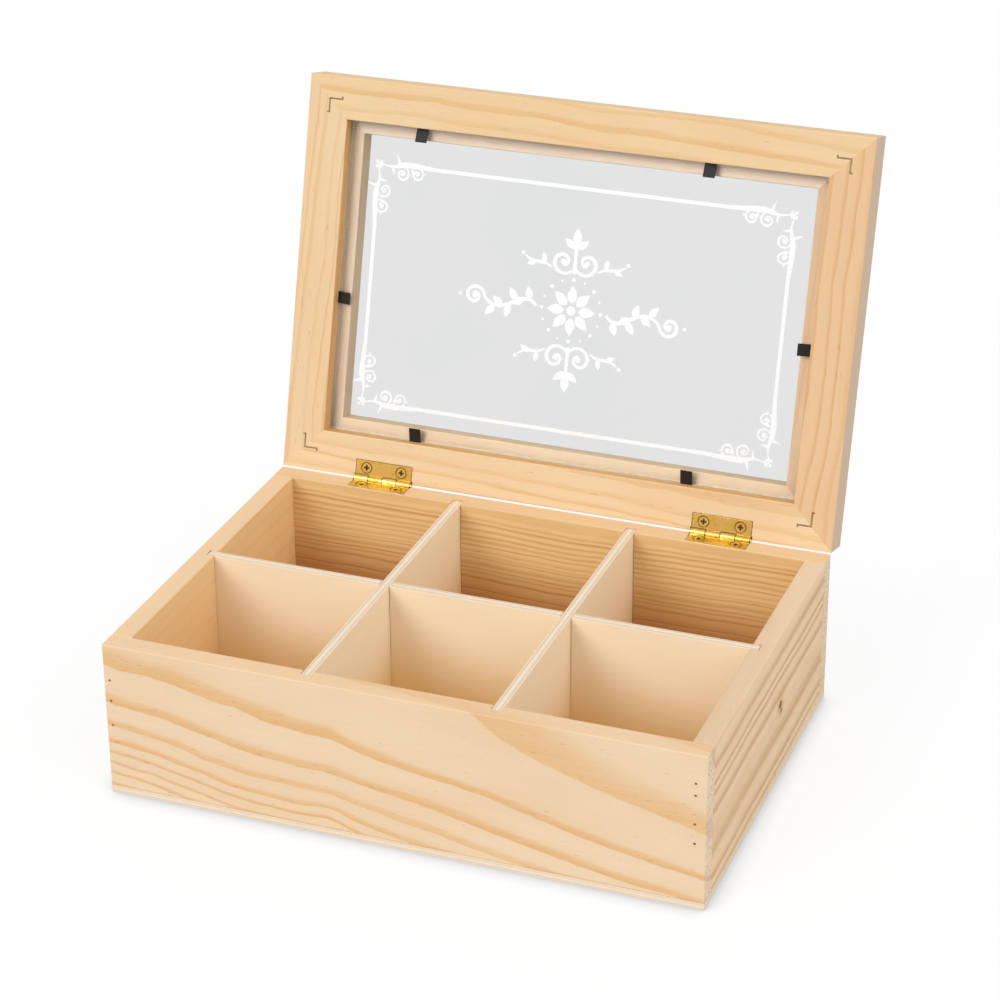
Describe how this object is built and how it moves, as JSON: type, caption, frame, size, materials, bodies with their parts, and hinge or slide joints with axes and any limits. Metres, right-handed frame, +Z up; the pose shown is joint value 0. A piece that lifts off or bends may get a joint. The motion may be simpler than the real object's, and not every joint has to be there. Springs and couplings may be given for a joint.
{
  "type": "tea bag organizer box",
  "caption": "Rectangular wooden box with compartments for tea bags, under a hinged lid with a mitred frame and a glass pane that stands open by itself.",
  "frame": {"origin": "centre of the box's footprint, on the underside of the bottom panel", "axes": "+X to the right along the hinge line, +Y to the back where the hinges are, +Z up"},
  "size_m": [0.24, 0.2246, 0.2257],
  "materials": {
    "box_pine": "bare sanded pine with wavy growth rings, a little darker inside",
    "lid_pine": "bare sanded pine with straight grain along each rail",
    "plywood": "bare thin plywood with pale layered edges",
    "brass": "bright stamped brass",
    "steel": "dull bare steel wire and strip",
    "black_steel": "satin black spring steel",
    "glass": "clear float glass with a white printed ornament"
  },
  "bodies": {
    "box": {"front_board": "box_pine", "back_board": "box_pine", "left_side_board": "box_pine", "right_side_board": "box_pine", "bottom_panel": "plywood", "long_divider": "plywood", "left_cross_divider": "plywood", "right_cross_divider": "plywood", "front_brads": "steel", "back_brads": "steel", "bottom_brads": "steel", "left_hinge_box_leaf": "brass", "left_hinge_pin": "brass", "left_hinge_box_screws": "brass", "right_hinge_box_leaf": "brass", "right_hinge_pin": "brass", "right_hinge_box_screws": "brass"},
    "lid": {"lid_front_rail": "lid_pine", "lid_back_rail": "lid_pine", "lid_left_stile": "lid_pine", "lid_right_stile": "lid_pine", "lid_v_nails": "steel", "glass_pane": "glass", "glass_tabs": "black_steel", "left_hinge_lid_leaf": "brass", "left_hinge_lid_screws": "brass", "right_hinge_lid_leaf": "brass", "right_hinge_lid_screws": "brass"}
  },
  "joints": [
    {"name": "lid_hinge", "type": "hinge", "parent": "box", "child": "lid", "pos_m": [0, 0.0833, 0.06515], "axis": [1, 0, 0], "range_deg": [0, 105]}
  ]
}
